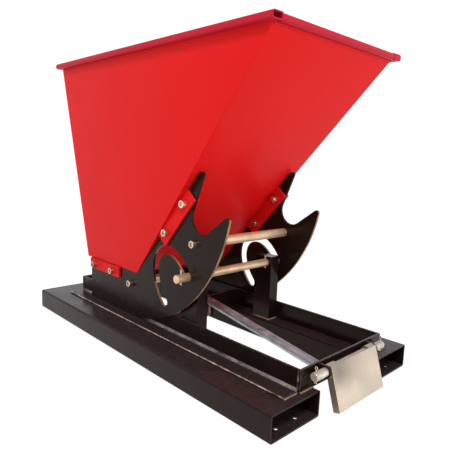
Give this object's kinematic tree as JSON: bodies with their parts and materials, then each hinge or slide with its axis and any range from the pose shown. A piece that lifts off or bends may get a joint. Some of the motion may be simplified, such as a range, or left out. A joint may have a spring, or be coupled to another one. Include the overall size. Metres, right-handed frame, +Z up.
{
  "type": "self-tipping hopper",
  "caption": "Red sheet-steel hopper on curved rocker plates that roll forward along a black fork-pocket base, let go by a front paddle, rod and latch.",
  "frame": {"origin": "middle of the outline on the floor", "axes": "+X forward, the way the hopper tips; +Y to the left; +Z up"},
  "size_m": [1.3674, 0.69, 1.021],
  "materials": {
    "red_paint": "gloss red paint on sheet steel",
    "black_paint": "gloss black paint",
    "rocker_black": "gloss black paint with bare rolling edges",
    "zinc_fastener": "zinc-plated",
    "bar_steel": "drawn bar, yellowish zinc",
    "rod_steel": "galvanised, dull",
    "galvanised": "galvanised plate"
  },
  "bodies": {
    "base": {"fork_pocket_right": "black_paint", "fork_pocket_left": "black_paint", "rail_right": "black_paint", "rail_left": "black_paint", "crossbar_front": "black_paint", "crossbar_middle": "black_paint", "crossbar_rear": "black_paint", "post_right": "black_paint", "post_left": "black_paint", "latch_bracket": "black_paint", "paddle_lug_right": "black_paint", "paddle_lug_left": "black_paint", "split_pin_plate_right": "zinc_fastener", "split_pin_plate_left": "zinc_fastener", "split_pin_post_right": "zinc_fastener", "split_pin_post_left": "zinc_fastener", "split_pin_paddle_right": "zinc_fastener", "split_pin_paddle_left": "zinc_fastener", "pivot_shaft": "bar_steel", "paddle_shaft": "bar_steel", "latch_pin": "zinc_fastener", "latch_spring": "zinc_fastener"},
    "carriage": {"hopper_brace": "red_paint"},
    "hopper": {"side_panel_right": "red_paint", "side_panel_left": "red_paint", "rear_panel": "red_paint", "front_panel": "red_paint", "floor_panel": "red_paint", "rim_right": "red_paint", "rim_left": "red_paint", "rim_rear": "red_paint", "rim_front": "red_paint", "tab_front_outer_right": "red_paint", "tab_rear_outer_right": "red_paint", "tab_front_inner_right": "red_paint", "tab_rear_inner_right": "red_paint", "tab_front_outer_left": "red_paint", "tab_rear_outer_left": "red_paint", "tab_front_inner_left": "red_paint", "tab_rear_inner_left": "red_paint", "rocker_plate_right": "rocker_black", "rocker_plate_left": "rocker_black", "tie_bar_upper": "bar_steel", "tie_bar_lower": "bar_steel", "tie_bolt_upper_right": "zinc_fastener", "tie_bolt_lower_right": "zinc_fastener", "tie_bolt_upper_left": "zinc_fastener", "tie_bolt_lower_left": "zinc_fastener", "tab_bolt_front_low_right": "zinc_fastener", "tab_bolt_front_high_right": "zinc_fastener", "tab_bolt_rear_low_right": "zinc_fastener", "tab_bolt_rear_high_right": "zinc_fastener", "tab_bolt_front_low_left": "zinc_fastener", "tab_bolt_front_high_left": "zinc_fastener", "tab_bolt_rear_low_left": "zinc_fastener", "tab_bolt_rear_high_left": "zinc_fastener"},
    "paddle": {"paddle": "galvanised"},
    "rod": {"release_rod": "rod_steel", "rod_pin": "zinc_fastener"},
    "latch": {"latch_lever": "bar_steel"}
  },
  "joints": [
    {"name": "hopper_advance", "type": "slide", "parent": "base", "child": "carriage", "axis": [1, 0, 0], "range_m": [0, 0.6805]},
    {"name": "hopper_tip", "type": "hinge", "parent": "carriage", "child": "hopper", "pos_m": [-0.16474, 0, 0.602], "axis": [0, 1, 0], "range_deg": [0, 75]},
    {"name": "paddle_push", "type": "hinge", "parent": "base", "child": "paddle", "pos_m": [0.63426, 0, 0.12], "axis": [0, 1, 0], "range_deg": [-10, 0]},
    {"name": "rod_draw", "type": "slide", "parent": "base", "child": "rod", "axis": [-0.9878, 0, 0.1556], "range_m": [-0.0135, 0]},
    {"name": "latch_turn", "type": "hinge", "parent": "base", "child": "latch", "pos_m": [0.01026, 0, 0.09], "axis": [0, 1, 0], "range_deg": [0, 14.2]}
  ],
  "couplings": [
    {"joint": "hopper_advance", "follows": "hopper_tip", "m_per_rad": 0.5197},
    {"joint": "rod_draw", "follows": "paddle_push", "m_per_rad": 0.07413},
    {"joint": "latch_turn", "follows": "paddle_push", "ratio": -1.409}
  ]
}
